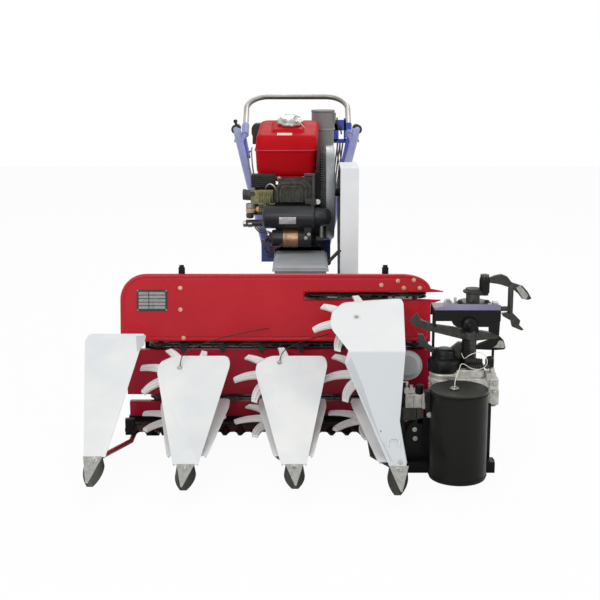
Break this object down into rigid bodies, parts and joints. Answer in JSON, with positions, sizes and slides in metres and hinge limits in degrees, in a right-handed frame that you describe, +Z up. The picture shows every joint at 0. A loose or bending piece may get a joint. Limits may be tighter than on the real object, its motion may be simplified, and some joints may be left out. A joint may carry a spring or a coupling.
{
  "type": "walk-behind reaper binder",
  "caption": "Walk-behind reaper binder: toothed header with dividers and star wheels, twine binder, diesel engine, rubber drive wheels and long handles.",
  "frame": {"origin": "centre of the outer box in plan, on the floor", "axes": "+X across to the right as seen from in front of the dividers, +Y back to the handles, +Z up"},
  "size_m": [1.4355, 2.15, 1.112],
  "materials": {
    "tyre": "satin",
    "black": "satin",
    "red": "gloss",
    "blue": "gloss",
    "white": "gloss",
    "engine_grey": "satin",
    "casting": "rough",
    "aluminium": "satin",
    "steel": "satin",
    "star": "satin",
    "rubber": "matte",
    "box_grey": "satin",
    "twine": "matte"
  },
  "bodies": {
    "machine": {"gearbox": "casting", "chassis": "blue", "crankcase": "engine_grey", "cylinder_head": "engine_grey", "flywheel_housing": "black", "starter_motor": "black", "injection_pump": "aluminium", "fuel_tank": "red", "air_cleaner": "box_grey", "silencer": "black", "battery_box": "box_grey", "drive_pulleys": "steel", "drive_belt": "rubber", "belt_guard": "white", "handle_left": "blue", "handle_right": "blue", "grip_left": "rubber", "grip_right": "rubber", "top_bar": "steel", "header_frame": "black", "upper_panel": "red", "middle_panel": "red", "lower_panel": "red", "chain_middle": "steel", "chain_lower": "steel", "chain_top": "steel", "cutter_bar": "steel", "knife": "steel", "divider_arm_1": "red", "divider_arm_2": "black", "divider_arm_3": "black", "divider_arm_4": "black", "cover_1": "white", "cover_2_upper": "white", "cover_2_lower": "white", "cover_3_upper": "white", "cover_3_lower": "white", "cover_4_upper": "white", "cover_4_lower": "white", "crop_springs": "steel", "guide_disc": "engine_grey", "binder_frame": "black", "binder_casting": "aluminium", "binder_table": "steel", "packer_arms": "steel", "discharge_arms": "steel", "twine_can": "black", "can_lid": "black", "twine": "twine"},
    "wheel_left": {"tyre_left": "tyre", "rim_left": "white"},
    "wheel_right": {"tyre_right": "tyre", "rim_right": "white"},
    "star_2_upper": {"star_2_upper": "star"},
    "star_2_lower": {"star_2_lower": "star"},
    "star_3_upper": {"star_3_upper": "star"},
    "star_3_lower": {"star_3_lower": "star"},
    "star_4_top": {"star_4_top": "star"},
    "star_4_upper": {"star_4_upper": "star"},
    "star_4_lower": {"star_4_lower": "star"}
  },
  "joints": [
    {"name": "wheel_left_spin", "type": "hinge", "parent": "machine", "child": "wheel_left", "pos_m": [-0.303, 0.055, 0.205], "axis": [1, 0, 0], "continuous": true},
    {"name": "wheel_right_spin", "type": "hinge", "parent": "machine", "child": "wheel_right", "pos_m": [0.257, 0.055, 0.205], "axis": [1, 0, 0], "continuous": true},
    {"name": "star_2_upper_spin", "type": "hinge", "parent": "machine", "child": "star_2_upper", "pos_m": [-0.407, -0.605, 0.268], "axis": [0, -0.4384, 0.8988], "continuous": true},
    {"name": "star_2_lower_spin", "type": "hinge", "parent": "machine", "child": "star_2_lower", "pos_m": [-0.406, -0.592, 0.117], "axis": [0, -0.165, 0.9863], "continuous": true},
    {"name": "star_3_upper_spin", "type": "hinge", "parent": "machine", "child": "star_3_upper", "pos_m": [-0.093, -0.605, 0.268], "axis": [0, -0.4384, 0.8988], "continuous": true},
    {"name": "star_3_lower_spin", "type": "hinge", "parent": "machine", "child": "star_3_lower", "pos_m": [-0.093, -0.592, 0.117], "axis": [0, -0.165, 0.9863], "continuous": true},
    {"name": "star_4_top_spin", "type": "hinge", "parent": "machine", "child": "star_4_top", "pos_m": [0.164, -0.603, 0.442], "axis": [0, -0.4695, 0.8829], "continuous": true},
    {"name": "star_4_upper_spin", "type": "hinge", "parent": "machine", "child": "star_4_upper", "pos_m": [0.197, -0.605, 0.27], "axis": [0, -0.4384, 0.8988], "continuous": true},
    {"name": "star_4_lower_spin", "type": "hinge", "parent": "machine", "child": "star_4_lower", "pos_m": [0.213, -0.592, 0.117], "axis": [0, -0.165, 0.9863], "continuous": true}
  ]
}
